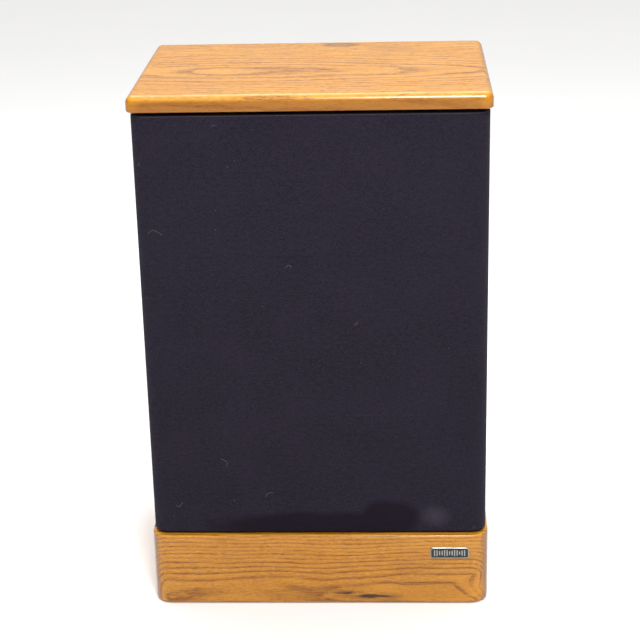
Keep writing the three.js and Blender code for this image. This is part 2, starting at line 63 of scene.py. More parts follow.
def srgb(red, green, blue):
    """An 8-bit screen colour as the linear RGBA that shaders take."""
    linear = []
    for value in (red, green, blue):
        value /= 255
        linear.append(value / 12.92 if value <= 0.04045 else ((value + 0.055) / 1.055) ** 2.4)
    return (*linear, 1)


class Graph:
    """The nodes of a material or a world, joined by short calls that each return an output socket."""

    def __init__(self, owner, shader_type):
        owner.use_nodes = True
        self.nodes = owner.node_tree.nodes
        self.links = owner.node_tree.links
        self.shader = next(n for n in self.nodes if n.type == shader_type)

    def node(self, kind, settings=(), **inputs):
        made = self.nodes.new(kind)
        for name, value in dict(settings).items():
            setattr(made, name, value)
        for name, value in inputs.items():
            self.set(made.inputs[name.replace("_", " ")], value)
        return made

    def set(self, socket, value):
        if isinstance(value, bpy.types.NodeSocket):
            self.links.new(value, socket)
        else:
            socket.default_value = value

    def math(self, operation, first, second=0.5, third=0.0, clamp=False):
        made = self.node("ShaderNodeMath", {"operation": operation, "use_clamp": clamp})
        for socket, value in zip(made.inputs, (first, second, third)):
            self.set(socket, value)
        return made.outputs[0]

    def times(self, first, second, clamp=False):
        return self.math("MULTIPLY", first, second, clamp=clamp)

    def plus(self, first, second):
        return self.math("ADD", first, second)

    def apart(self, first, second):
        """How far two values are from each other, either way."""
        return self.math("ABSOLUTE", self.math("SUBTRACT", first, second))

    def vector_math(self, operation, first, second=(0, 0, 0)):
        made = self.node("ShaderNodeVectorMath", {"operation": operation})
        self.set(made.inputs[0], first)
        self.set(made.inputs[1], second)
        return made.outputs["Value" if operation in ("LENGTH", "DISTANCE", "DOT_PRODUCT") else "Vector"]

    def stretched(self, factors, offset=(0, 0, 0), place=None):
        scaled = self.vector_math("MULTIPLY", place or self.place, factors)
        return self.vector_math("ADD", scaled, offset)

    def counted_from(self, place, half_width, half_height):
        """Coordinates across the front, from a place, in half widths and half heights."""
        from_middle = self.vector_math("SUBTRACT", self.place, place)
        return self.stretched((1 / half_width, 0, 1 / half_height), place=from_middle)

    def noise(self, place=None, scale=1.0, detail=2.0, roughness=0.5, distortion=0.0):
        made = self.node("ShaderNodeTexNoise", Vector=place or self.place, Scale=scale, Detail=detail)
        made.inputs["Roughness"].default_value = roughness
        made.inputs["Distortion"].default_value = distortion
        return made.outputs["Fac"]

    def cells(self, place, scale, feature="F1"):
        made = self.node("ShaderNodeTexVoronoi", {"feature": feature}, Vector=place, Scale=scale)
        return made.outputs["Distance"]

    def ramp(self, value, stops):
        made = self.node("ShaderNodeValToRGB", Fac=value)
        band = made.color_ramp
        while len(band.elements) < len(stops):
            band.elements.new(0.5)
        for element, (position, colour) in zip(band.elements, stops):
            element.position = position
            element.color = colour if isinstance(colour, tuple) else (colour, colour, colour, 1)
        return made.outputs["Color"]

    def rise(self, value, start, end):
        """0 up to start and 1 from end, straight between them."""
        return self.ramp(value, [(start, 0.0), (end, 1.0)])

    def remap(self, value, low, high, to_low, to_high):
        made = self.node("ShaderNodeMapRange", Value=value)
        for name, number in zip(("From Min", "From Max", "To Min", "To Max"), (low, high, to_low, to_high)):
            made.inputs[name].default_value = number
        return made.outputs["Result"]

    def mix(self, share, first, second):
        made = self.node("ShaderNodeMix", {"data_type": "RGBA"})
        self.set(made.inputs[0], share)
        self.set(made.inputs[6], first)
        self.set(made.inputs[7], second)
        return made.outputs[2]

    def axes(self, place=None):
        made = self.node("ShaderNodeSeparateXYZ", Vector=place or self.place)
        return made.outputs[0], made.outputs[1], made.outputs[2]

    def colour(self, value):
        self.links.new(value, self.shader.inputs["Base Color"])

    def roughness(self, value):
        self.links.new(value, self.shader.inputs["Roughness"])

    def bump(self, height, distance, strength):
        made = self.node("ShaderNodeBump", Height=height)
        made.inputs["Distance"].default_value = distance
        made.inputs["Strength"].default_value = strength
        self.links.new(made.outputs["Normal"], self.shader.inputs["Normal"])


class Finish(Graph):
    """A new material, with its shader's plain values and the object coordinates at hand."""

    def __init__(self, name, **shader):
        self.material = bpy.data.materials.new(name)
        super().__init__(self.material, "BSDF_PRINCIPLED")
        for socket, value in shader.items():
            self.shader.inputs[socket.replace("_", " ")].default_value = value
        self.place = self.node("ShaderNodeTexCoord").outputs["Object"]


# ---- materials

OAK_LIGHT = srgb(226, 158, 52)
OAK_HONEY = srgb(206, 136, 30)
OAK_TAN = srgb(190, 128, 44)
OAK_LINE = srgb(128, 70, 10)
OAK_PORE = srgb(76, 36, 4)
OAK_FLECK = srgb(238, 182, 92)
OAK_END_GRAIN_AND_SHADE = srgb(104, 56, 8)
OAK_PAINTED_HIGHLIGHT = srgb(238, 158, 26)
OAK_KNOT = srgb(104, 62, 36)
OAK_STREAK = srgb(72, 36, 18)


def streak_mark(g, streak, broken):
    """How strongly a leaning streak (place, half length, half height) shows, broken up by a noise."""
    near = g.axes(g.counted_from(*streak))
    off_line = g.math("ABSOLUTE", g.plus(near[2], g.times(near[0], 0.55)))
    reach = g.math("SUBTRACT", 1.0, g.math("ABSOLUTE", near[0]), clamp=True)
    core = g.math("SUBTRACT", 1.0, off_line, clamp=True)
    return g.times(g.times(core, reach), broken)


def oak_rings(g, along, heart, bow, wild, knots, along_grain):
    """How far a point is from the bent, wandering heart line, and (reach, depth) for each knot."""
    x, y, z = g.axes()
    run, first, second = (x, y, z) if along == "X" else (y, x, z)
    wander = g.math("SUBTRACT", g.noise(along_grain(0.34, 0.11), detail=2.5), 0.5)
    ripple = g.math("SUBTRACT", g.noise(along_grain(0.05, 0.016)), 0.5)
    square_one = g.math("POWER", g.apart(first, heart[0]), 2.0)
    square_two = g.math("POWER", g.apart(second, heart[1]), 2.0)
    radius = g.math("SQRT", g.plus(square_one, square_two))
    arch = g.math("POWER", g.apart(run, bow[1]), 2.0)
    radius = g.math("MULTIPLY_ADD", arch, bow[0], radius)
    radius = g.math("MULTIPLY_ADD", wander, 0.034 * wild, radius)
    radius = g.math("MULTIPLY_ADD", ripple, 0.0042 * wild, radius)
    knot_reach = []
    for knot_place, knot_size, depth in knots:
        away = g.vector_math("DISTANCE", g.stretched((0.5, 1, 1), (knot_place[0] * 0.5, 0, 0)), knot_place)
        knot_reach.append((g.math("DIVIDE", away, knot_size), depth))
        swell = g.remap(away, 0.0, knot_size * 3.2, knot_size * 1.2, 0.0)
        radius = g.plus(radius, swell)
    return radius, knot_reach


def oak_lines(g, radius, spacing, along_grain):
    """The dark ring lines, broken into dashes, and the pores that crowd along them."""
    phase = g.math("DIVIDE", radius, spacing)
    within = g.math("FRACT", phase, 0.0)
    ring_number = g.math("FLOOR", phase, 0.0)
    ring_noise = g.node("ShaderNodeTexWhiteNoise", {"noise_dimensions": "1D"}, W=ring_number).outputs["Value"]
    line = g.ramp(within, [(0.0, 1.0), (0.16, 0.9), (0.36, 0.25), (0.7, 0.0), (0.93, 0.15), (1.0, 1.0)])
    dashes = g.ramp(g.noise(along_grain(0.026, 0.0022, True), detail=3.0), [(0.36, 0.4), (0.56, 1.0)])
    line = g.times(g.times(line, dashes), g.remap(ring_noise, 0.0, 1.0, 0.5, 1.0))
    pores = g.rise(g.noise(along_grain(0.0055, 0.0009, True)), 0.54, 0.66)
    pores = g.times(pores, g.math("MULTIPLY_ADD", line, 0.6, 0.3))
    return line, pores


def oak(name, along, heart, spacing, seed, coarse=1.0, ring_depth=0.85, knots=(), streak=None,
        bow=(0, 0), upright_shade=0.0, wide=1.0, paler_patches=(), wild=1.0):
    """Golden oak: rings round a heart line parallel to the grain, broken by pores, under a clear coat.

    heart is where that line crosses the two other axes, bow (strength, place) bends it away from the face,
    coarse scales the fine marks and wide broadens them across a top face. ring_depth is how dark the rings
    are. knots (place, size, depth) and streak (place, half length, half height) are places in the frame.
    upright_shade paints shade on the upright faces, paler_patches lists places where a painted highlight
    turns the wood golden, and wild is how far the rings wander.
    """
    g = Finish(name, IOR=1.15, Coat_Weight=0.95, Coat_Roughness=0.21, Coat_IOR=1.47)
    offset = (seed * 3.7, seed * 1.9, seed * 5.3)

    def along_grain(length, across, fine=False):
        """Coordinates that stretch a noise to features of that length and width."""
        factor, widen = (coarse, wide) if fine else (1.0, 1.0)
        factors = [1 / (across * factor)] * 3
        factors["YX".index(along)] /= widen
        factors["XY".index(along)] = 1 / (length * factor)
        return g.stretched(tuple(factors), offset)

    radius, knot_reach = oak_rings(g, along, heart, bow, wild, knots, along_grain)
    line, pores = oak_lines(g, radius, spacing, along_grain)
    streaks = g.rise(g.noise(along_grain(0.045, 0.0045, True), detail=3.0), 0.32, 0.68)
    patches = g.rise(g.noise(along_grain(0.16, 0.05)), 0.36, 0.66)
    flecks = g.rise(g.noise(along_grain(0.004, 0.0016, True), detail=1.0), 0.56, 0.7)
    tan = g.rise(g.noise(along_grain(0.09, 0.07), detail=1.0), 0.5, 0.78)
    light_share = g.math("MULTIPLY_ADD", streaks, 0.55, g.times(patches, 0.45))
    body = g.mix(light_share, OAK_HONEY, OAK_LIGHT)
    body = g.mix(g.times(tan, 0.5), body, OAK_TAN)
    body = g.mix(g.times(flecks, 0.3), body, OAK_FLECK)
    body = g.mix(g.times(line, ring_depth), body, OAK_LINE)
    body = g.mix(g.times(pores, 0.9, clamp=True), body, OAK_PORE)
    facing = g.node("ShaderNodeTexCoord").outputs["Normal"]
    # End grain and painted shade: faces turned along the grain are darkened, both for the end grain and as
    # shade on the board ends.
    end_grain_and_shade = g.remap(g.math("ABSOLUTE", g.axes(facing)["XY".index(along)]), 0.55, 0.95, 0.0, 0.85)
    body = g.mix(end_grain_and_shade, body, OAK_END_GRAIN_AND_SHADE)
    if upright_shade:
        # Painted shade: the more upright a face stands, the further it is darkened towards the line colour.
        upright = g.remap(g.axes(facing)[2], 0.0, 0.6, upright_shade, 0.0)
        body = g.mix(upright, body, OAK_LINE)
    for place in paler_patches:
        # Painted highlight: near each listed place the wood turns a brighter gold, like a lit corner.
        near = g.remap(g.vector_math("DISTANCE", g.place, place), 0.004, 0.014, 0.35, 0.0)
        body = g.mix(near, body, OAK_PAINTED_HIGHLIGHT)
    for reach, depth in knot_reach:
        rim = g.ramp(reach, [(0.0, 0.4), (0.35, 0.6), (0.55, 1.0), (0.75, 0.5), (1.0, 0.0)])
        body = g.mix(g.times(rim, depth), body, OAK_KNOT)
    if streak:
        broken = g.ramp(g.noise(along_grain(0.03, 0.004), detail=3.0), [(0.35, 0.1), (0.6, 1.0)])
        body = g.mix(g.times(streak_mark(g, streak, broken), 2.2, clamp=True), body, OAK_STREAK)
    g.colour(body)
    g.roughness(g.remap(g.noise(along_grain(0.05, 0.02)), 0.3, 0.7, 0.30, 0.46))
    relief = g.plus(g.times(line, -0.55), g.times(pores, -1.0))
    g.bump(relief, 0.00035, 0.8)
    return g.material


def soft_patches(g, places, core, ragged):
    """1 inside core of each ellipse (place, half width, half height), fading to 0 at a ragged edge."""
    patch = 0.0
    for ellipse in places:
        reach = g.plus(ragged, g.vector_math("LENGTH", g.counted_from(*ellipse)))
        patch = g.math("MAXIMUM", g.ramp(reach, [(core, 1.0), (1.0, 0.0)]), patch)
    return patch


def grille_knit(name, crease_z, rubs, dusty):
    """Dark grille cloth: a fine uneven knit with rubbed patches, painted shade along the bar behind, a
    painted highlight on its top edge and painted shadow on its top turn-in.

    rubs and dusty list each dark or pale patch as (place, half width, half height).
    """
    g = Finish(name, Roughness=0.93, Sheen_Weight=0.08, Sheen_Roughness=0.5, Specular_IOR_Level=0.12)
    g.shader.inputs["Sheen Tint"].default_value = srgb(190, 184, 210)
    x, y, z = g.axes()
    around = g.plus(x, y)
    flat = g.node("ShaderNodeCombineXYZ", X=around, Y=z)
    knit = g.noise(flat.outputs[0], scale=620, detail=2.5)
    thread = g.noise(g.stretched((260, 2400, 1), place=flat.outputs[0]), detail=1.0)
    cloud = g.noise(scale=19, detail=4.0, roughness=0.6)
    broad = g.noise(scale=5, detail=1.0)
    tone = g.mix(g.rise(cloud, 0.36, 0.64), srgb(17, 15, 23), srgb(25, 22, 31))
    tone = g.mix(g.times(g.rise(broad, 0.4, 0.62), 0.5), tone, srgb(22, 21, 31))
    squeezed = g.stretched((1, 1.6, 1), place=flat.outputs[0])
    mottle = g.rise(g.noise(squeezed, scale=170, detail=3.0, roughness=0.7), 0.36, 0.66)
    tone = g.mix(g.times(mottle, 0.5), tone, srgb(40, 36, 48))
    grain = g.rise(g.plus(g.times(knit, 0.65), g.times(thread, 0.35)), 0.36, 0.64)
    tone = g.mix(g.times(grain, 0.6), tone, srgb(50, 44, 59))
    lint = g.ramp(g.cells(g.place, 52), [(0.0, 1.0), (0.022, 1.0), (0.03, 0.0)])
    tone = g.mix(g.times(lint, 0.45), tone, srgb(120, 112, 124))
    ragged = g.times(g.math("SUBTRACT", g.noise(scale=30, detail=1.5), 0.5), 0.6)
    patch = soft_patches(g, rubs, 0.68, ragged)
    tone = g.mix(g.times(patch, 0.8), tone, srgb(20, 11, 23))
    tone = g.mix(g.times(soft_patches(g, dusty, 0.1, ragged), 0.3), tone, srgb(84, 78, 92))
    upward = g.axes(g.node("ShaderNodeTexCoord").outputs["Normal"])[2]
    # Painted highlight: a lighter band where the cloth turns from the front towards the top.
    painted_lip_highlight = g.ramp(upward, [(0.15, 0.0), (0.35, 0.35), (0.6, 0.0)])
    tone = g.mix(painted_lip_highlight, tone, srgb(92, 86, 94))
    # Painted shadow: faces turned upwards, on the top turn-in under the cap, go nearly black.
    tone = g.mix(g.rise(upward, 0.45, 0.85), tone, srgb(6, 5, 7))
    # Painted shade: a broken darker line along the crease over the bar behind.
    fold = g.apart(z, crease_z)
    painted_crease_shade = g.times(g.ramp(g.math("DIVIDE", fold, 0.0016), [(0.0, 1.0), (1.0, 0.0)]),
                   g.ramp(g.noise(scale=16, detail=1.0), [(0.42, 0.0), (0.6, 0.6)]))
    tone = g.mix(g.times(painted_crease_shade, 0.4), tone, srgb(18, 15, 23))
    g.colour(tone)
    worn_flat = g.math("SUBTRACT", 1.0, g.times(patch, 0.7))
    height = g.times(g.plus(knit, thread), worn_flat)
    g.bump(height, 0.0006, 0.8)
    return g.material


def vinyl(name):
    """Black vinyl film pressed with a fine leather grain."""
    g = Finish(name, Roughness=0.5, Specular_IOR_Level=0.35)
    pebble = g.cells(g.place, 620, "SMOOTH_F1")
    crumple = g.noise(scale=240)
    paler_patches = g.noise(scale=7, detail=3.0)
    g.colour(g.mix(g.rise(paler_patches, 0.35, 0.7), srgb(22, 22, 24), srgb(31, 31, 33)))
    g.roughness(g.remap(crumple, 0.3, 0.7, 0.42, 0.58))
    g.bump(g.plus(pebble, g.times(crumple, 0.5)), 0.0004, 0.7)
    return g.material


def particle_board(name, light, dark):
    """Pressed chips, cut square."""
    g = Finish(name, Roughness=0.85)
    chips = g.cells(g.stretched((1, 1, 1.8)), 260)
    fine = g.noise(scale=900)
    tone = g.mix(g.rise(chips, 0.1, 0.7), light, dark)
    g.colour(g.mix(g.times(fine, 0.35), tone, dark))
    g.bump(g.plus(chips, fine), 0.0003, 0.6)
    return g.material


def black_paint(name):
    """Matt black paint rolled on board, with its orange peel."""
    g = Finish(name, Roughness=0.68)
    peel = g.noise(scale=420)
    g.colour(g.mix(g.rise(g.noise(scale=11, detail=3.0), 0.35, 0.7),
                   srgb(29, 29, 31), srgb(39, 39, 41)))
    g.roughness(g.remap(peel, 0.3, 0.7, 0.6, 0.76))
    g.bump(peel, 0.0003, 0.5)
    return g.material


def moulded(name, colour, roughness=0.42, grain=900, depth=0.00012):
    """Moulded plastic with a spark-eroded skin."""
    g = Finish(name, Roughness=roughness)
    skin = g.noise(scale=grain)
    lighter = tuple(min(1.0, c * 1.35 + 0.004) for c in colour[:3]) + (1,)
    g.colour(g.mix(g.rise(g.noise(scale=38), 0.3, 0.75), colour, lighter))
    g.roughness(g.remap(skin, 0.3, 0.7, roughness - 0.06, roughness + 0.08))
    g.bump(skin, depth, 0.6)
    return g.material


def metal(name, colour, roughness, turned_about=None):
    """Metal with fine scratches, round a turned part's axis where it has one."""
    g = Finish(name, Metallic=1.0, Roughness=roughness)
    if turned_about:
        x, y, z = g.axes(g.vector_math("SUBTRACT", g.place, turned_about))
        from_axis = g.math("SQRT", g.plus(g.times(x, x), g.times(z, z)))
        place = g.node("ShaderNodeCombineXYZ", X=g.times(from_axis, 3000.0), Y=y).outputs[0]
        marks = g.noise(place)
    else:
        marks = g.noise(g.stretched((90, 2600, 2600)))
    g.roughness(g.remap(marks, 0.3, 0.7, roughness - 0.08, roughness + 0.12))
    g.colour(g.mix(g.rise(marks, 0.35, 0.7), colour, tuple(c * 0.8 for c in colour[:3]) + (1,)))
    g.bump(marks, 0.00005, 0.5)
    return g.material


def felted(name, colour, fibre, roughness, depth, scale):
    """Pulp paper, foam, felt or wadding: a matted surface with short fibres in it."""
    g = Finish(name, Roughness=roughness, Sheen_Weight=0.12)
    mat = g.noise(scale=scale, detail=4.0, roughness=0.65)
    hairs = g.rise(g.noise(scale=scale * 1.7, distortion=2.5), 0.6, 0.72)
    g.colour(g.mix(g.times(hairs, 0.55), colour, fibre))
    g.bump(g.plus(mat, g.times(hairs, 0.5)), depth, 0.7)
    return g.material


# ---- mesh making

def linked(name, data):
    """A new object in the scene."""
    made = bpy.data.objects.new(name, data)
    bpy.context.scene.collection.objects.link(made)
    return made


def add_piece(name, points, faces, material, stands_for=None, slot=None, body="cabinet",
              crisp_angle=32, weighted=True):
    """A mesh piece that rides on a body, smooth but for edges sharper than crisp_angle degrees."""
    mesh = bpy.data.meshes.new(name)
    mesh.from_pydata([tuple(p) for p in points], [], faces)
    mesh.validate()
    mesh.materials.append(material)
    mesh.polygons.foreach_set("use_smooth", [True] * len(mesh.polygons))
    mesh.set_sharp_from_angle(angle=math.radians(crisp_angle))
    piece = linked(name, mesh)
    if weighted:
        modifier = piece.modifiers.new("flat faces stay flat", "WEIGHTED_NORMAL")
        modifier.keep_sharp = True
        modifier.weight = 100
    if body:
        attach(piece, body)
    if stands_for:
        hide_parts(stands_for)
    return piece


def loft(rings, closed=True):
    """Points and faces of a skin through equal rings: a capped solid, or an open sheet if not closed."""
    count = len(rings[0])
    points = [p for ring in rings for p in ring]
    faces = []
    steps = count if closed else count - 1
    for row in range(len(rings) - 1):
        for i in range(steps):
            j = (i + 1) % count
            low, high = row * count, (row + 1) * count
            faces.append((low + i, low + j, high + j, high + i))
    if closed:
        faces.append(tuple(reversed(range(count))))
        faces.append(tuple(range((len(rings) - 1) * count, len(rings) * count)))
    return points, faces


def rounded_outline(low, high, radii, inset, steps):
    """A rectangle in two coordinates with its corners rounded, anticlockwise from low's corner."""
    corners = [(low[0], low[1], 180), (high[0], low[1], 270), (high[0], high[1], 0), (low[0], high[1], 90)]
    outline = []
    for (across, up, start), radius in zip(corners, radii):
        inward = (1 if across == low[0] else -1, 1 if up == low[1] else -1)
        radius = max(radius, inset + 0.0001)
        centre = (across + inward[0] * radius, up + inward[1] * radius)
        outline += arc(centre, radius - inset, start, start + 90, steps)
    return outline


def eased_profile(low, high, first, last, steps):
    """(inset, level) pairs up one side of a block whose two ends are rounded over."""
    profile = []
    for step in range(steps + 1):
        angle = math.pi / 2 * step / steps
        profile.append((first * (1 - math.sin(angle)), low + first * (1 - math.cos(angle))))
    for step in range(steps + 1):
        angle = math.pi / 2 * (1 - step / steps)
        profile.append((last * (1 - math.sin(angle)), high - last * (1 - math.cos(angle))))
    return profile


def block(low, high, radii, bottom, top, steps, ease_steps):
    """An upright block with rounded edges. radii are its plan corners', one number or four."""
    if not isinstance(radii, tuple):
        radii = (radii,) * 4
    rings = []
    for inset, level in eased_profile(low[2], high[2], bottom, top, ease_steps):
        outline = rounded_outline(low[:2], high[:2], radii, inset, steps)
        rings.append([(x, y, level) for x, y in outline])
    return loft(rings)


def turned(profile, centre, segments):
    """Points and faces of a profile of (radius, y) pairs turned about the line along Y at centre (x, z)."""
    points, rows = [], []
    for radius, y in profile:
        if radius < ON_AXIS:
            rows.append([len(points)] * segments)
            points.append((centre[0], y, centre[1]))
            continue
        rows.append(list(range(len(points), len(points) + segments)))
        for i in range(segments):
            angle = 2 * math.pi * i / segments
            points.append((centre[0] + radius * math.cos(angle), y, centre[1] + radius * math.sin(angle)))
    pairs = list(zip(rows, rows[1:]))
    if profile[0][0] > ON_AXIS:
        pairs.append((rows[-1], rows[0]))
    faces = []
    for first, second in pairs:
        for i in range(segments):
            j = (i + 1) % segments
            face = []
            for index in (first[i], second[i], second[j], first[j]):
                if index not in face:
                    face.append(index)
            if len(face) > 2:
                faces.append(tuple(face))
    return points, faces


def outward(points, faces):
    """The same faces, wound so that the closed mesh they make has a positive volume."""
    volume = 0.0
    for face in faces:
        for i in range(1, len(face) - 1):
            a, b, c = (Vector(points[face[k]]) for k in (0, i, i + 1))
            volume += a.dot(b.cross(c))
    return (points, faces) if volume > 0 else (points, [tuple(reversed(f)) for f in faces])


def arc(centre, radius, start, end, steps):
    """Points round part of a circle, with angles in degrees."""
    angles = [math.radians(start + (end - start) * i / steps) for i in range(steps + 1)]
    return [(centre[0] + radius * math.cos(a), centre[1] + radius * math.sin(a)) for a in angles]


def lathe(profile, face_y, centre, segments):
    """A turned solid from a profile in millimetres of (radius, depth behind face_y) pairs."""
    in_metres = [(radius * MM, face_y + depth * MM) for radius, depth in profile]
    return outward(*turned(in_metres, centre, segments))


def tube(path, radius, sides):
    """Points and faces of a thin tube along a path, closed at both ends."""
    rings = []
    for i, here in enumerate(path):
        ahead = (Vector(path[min(i + 1, len(path) - 1)]) - Vector(path[max(i - 1, 0)])).normalized()
        side = ahead.cross(Vector((0, 1, 0.2))).normalized()
        up = side.cross(ahead)
        ring = []
        for k in range(sides):
            angle = 2 * math.pi * k / sides
            ring.append(tuple(Vector(here) + radius * (math.cos(angle) * side + math.sin(angle) * up)))
        rings.append(ring)
    return loft(rings)


def gathered(parts):
    """Several (points, faces) pairs as one."""
    points, faces = [], []
    for part_points, part_faces in parts:
        start = len(points)
        points += list(part_points)
        faces += [tuple(start + i for i in face) for face in part_faces]
    return points, faces


def middle(low, high):
    return (Vector(low) + Vector(high)) / 2


def centre_line(box):
    """(x, z) of the line along Y through the middle of a box."""
    return (middle(*box).x, middle(*box).z)


# ---- the frame

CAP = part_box("top_cap")
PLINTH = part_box("plinth_front")
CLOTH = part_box("grille_cloth")
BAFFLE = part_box("front_baffle")
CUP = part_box("terminal_cup")
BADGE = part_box("badge_plate")
BAFFLE_Y = BAFFLE[0].y
WOOFER_CENTRE = centre_line(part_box("woofer_gasket"))
TWEETER_CENTRE = centre_line(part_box("tweeter_faceplate"))
CROSS_BAR_Z = 0.374
HALF_BAR = 0.008
RAIL = 0.0165
CAP_CORNER = 0.008
CAP_ROUNDOVER = 0.007
BASE_CORNER = 0.018
BADGE_PROUD = 0.0013
CLOTH_CORNER = 0.015
CLOTH_FOLD = 0.0028
CLOTH_TURN_IN = 0.0135
CLOTH_THICKNESS = 0.0006
SAG_DEPTH = 0.0009
SAG_REACH = 0.018
RIPPLE = 0.00010


# ---- oak pieces

def make_oak():
    cap_low, cap_high = CAP
    knot_place = (cap_low.x + 0.57 * (cap_high.x - cap_low.x), cap_high.y - 0.019, cap_high.z)
    cap_heart = (cap_low.y + 0.42 * (cap_high.y - cap_low.y), cap_high.z - 0.075)
    # Painted highlight spots on the cap's two front corners.
    corners = [Vector((x, cap_low.y + 0.003, cap_high.z - 0.004))
               for x in (cap_low.x + 0.003, cap_high.x - 0.003)]
    cap_oak = oak("oak_cap", "X", cap_heart, 0.0056, 1.0, 1.02, 0.8, [(knot_place, 0.0120, 0.75)],
                  bow=(0.28, -0.06), upright_shade=0.7, wide=2.6, paler_patches=corners)
    add_piece("oak_top_cap", *block(*CAP, CAP_CORNER, 0.002, CAP_ROUNDOVER, 8, 8), cap_oak, "top_cap",
              "oak")

    low, high = PLINTH
    heart = (low.y - 0.045, low.z + 0.011)
    streak = (Vector((0.046, low.y, low.z + 0.0100)), 0.044, 0.0060)
    swirl = (Vector((high.x - 0.006, low.y + 0.003, low.z + 0.019)), 0.005, 0.1)
    # A painted highlight spot near the front board's right end.
    painted_highlight_end = Vector((high.x - 0.011, low.y + 0.002, low.z + 0.017))
    front_oak = oak("oak_base_front", "X", heart, 0.0035, 2.0, 1.0, 0.9, [swirl], streak, upright_shade=0.2,
                    paler_patches=[painted_highlight_end], wild=0.7)
    base_corners = (BASE_CORNER, BASE_CORNER, 0.0006, 0.0006)
    add_piece("oak_base_front_board", *block(low, high, base_corners, 0.0045, 0.002, 12, 6), front_oak,
              "plinth_front", "oak")

    side_oak = oak("oak_base_side", "Y", (0.02, -0.02), 0.0045, 3.0)
    back_oak = oak("oak_base_back", "X", (high.y + 0.28, -0.01), 0.0044, 4.0)
    for name, material in (("plinth_left", side_oak), ("plinth_right", side_oak), ("plinth_back", back_oak)):
        add_piece("oak_" + name.replace("plinth", "base") + "_board",
                  *block(*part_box(name), 0.0012, 0.003, 0.002, 3, 4), material, name, "oak")


def make_badge():
    """A bright chamfered rim round a dark field, with a plain row of bars in place of lettering."""
    low, high = BADGE
    rim_metal = metal("badge_rim_metal", srgb(176, 178, 174), 0.36)
    field = moulded("badge_field_enamel", srgb(22, 30, 25), 0.3, 1200, 0.00005)
    front = low.y - BADGE_PROUD
    back = low.y + 0.0006
    rim_layers = [(0.0, back), (0.0, front + 0.0003), (0.0003, front), (0.0007, front),
                  (0.0009, front + 0.0006)]

    def chamfered(inset, y, cut=0.0018):
        x0, x1, z0, z1 = low.x + inset, high.x - inset, low.z + inset, high.z - inset
        corner = max(cut - inset * 0.6, 0.0004)
        outline = [(x0 + corner, z0), (x1 - corner, z0), (x1, z0 + corner), (x1, z1 - corner),
                   (x1 - corner, z1), (x0 + corner, z1), (x0, z1 - corner), (x0, z0 + corner)]
        return [(x, y, z) for x, z in outline]

    add_piece("badge_rim", *loft([chamfered(*layer) for layer in rim_layers]), rim_metal, "badge_plate",
              "badge_metal")
    field_layers = [(0.00092, front + 0.0007), (0.00092, front + 0.0005), (0.0011, front + 0.0004)]
    add_piece("badge_field", *loft([chamfered(*layer) for layer in field_layers]), field,
              slot="badge_metal")
    bars = []
    count = 13
    for i in range(count):
        x = low.x + 0.0042 + (high.x - low.x - 0.0084) * i / (count - 1)
        tall = 0.0018 + 0.0018 * abs(math.sin(1.1 + i * 0.83))
        z = middle(low, high).z
        bars.append(block((x - 0.0006, front + 0.00015, z - tall), (x + 0.0006, front + 0.0005, z + tall),
                          0.0001, 0.0003, 0.0003, 1, 2))
    add_piece("badge_bars", *gathered(bars), rim_metal, slot="badge_metal")


# ---- cabinet

def make_cabinet():
    film = vinyl("black_vinyl")
    board = particle_board("particle_board", srgb(176, 146, 108), srgb(120, 92, 62))
    paint = black_paint("baffle_black")
    for name in ("cabinet_left_panel", "cabinet_right_panel"):
        add_piece(name.replace("cabinet", "vinyl"), *block(*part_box(name), 0.0012, 0.0008, 0.0008, 3, 3),
                  film, name, "vinyl")
    for name in ("back_panel", "cabinet_top_panel", "cabinet_bottom_panel"):
        finish_node(name, film)
    finish_node("front_baffle", paint)
    for i in range(1, 5):
        finish_node(f"plinth_corner_block_{i}", board)


def finish_node(name, material):
    """A CAD node that stays gets a finished material."""
    node = frame["nodes"][name]
    node.data.materials.clear()
    node.data.materials.append(material)


# ---- grille

def cloth_front_sag(x, z):
    """How far the stretched cloth sinks behind the grille's front plane, between the bars that carry it."""
    low, high = CLOTH
    edge = min(x - low.x, high.x - x, z - low.z, high.z - z) - RAIL
    bar = abs(z - CROSS_BAR_Z) - HALF_BAR
    reach = max(0.0, min(edge, bar))
    sunk = 1 - math.exp(-reach / SAG_REACH)
    ripple = 0.5 * math.sin(31 * x + 17 * z + 1.0) + 0.3 * math.sin(47 * z - 23 * x)
    return SAG_DEPTH * sunk + RIPPLE * ripple * sunk


def cloth_row(inset):
    """(x, y) from the left wrap's back edge, round the front, to the right wrap's back edge."""
    low, high = CLOTH
    arc_steps, front_steps, side_steps = 12, 110, 5
    radius = CLOTH_CORNER - inset
    left, right, front = low.x + CLOTH_CORNER, high.x - CLOTH_CORNER, low.y + CLOTH_CORNER
    row = [(low.x + inset, high.y + (front - high.y) * i / side_steps) for i in range(side_steps)]
    row += arc((left, front), radius, 180, 270, arc_steps)
    row += [(left + (right - left) * i / front_steps, low.y + inset) for i in range(1, front_steps)]
    row += arc((right, front), radius, 270, 360, arc_steps)
    row += [(high.x - inset, front + (high.y - front) * (i + 1) / side_steps) for i in range(side_steps)]
    return row


def cloth_levels():
    """(inset, z) of each row, from the bottom turn-in up the front to the top turn-in."""
    low, high = CLOTH
    body_rows, edge_rows = 130, 7
    start, end = low.z + CLOTH_FOLD, high.z - CLOTH_FOLD
    eased = eased_profile(low.z, high.z, CLOTH_FOLD, CLOTH_FOLD, edge_rows - 1)
    half_turn = (CLOTH_TURN_IN + CLOTH_FOLD) / 2
    levels = [(CLOTH_TURN_IN, low.z), (half_turn, low.z)] + eased[:edge_rows]
    levels += [(0.0, start + (end - start) * i / body_rows) for i in range(1, body_rows)]
    return levels + eased[edge_rows:] + [(half_turn, high.z), (CLOTH_TURN_IN, high.z)]


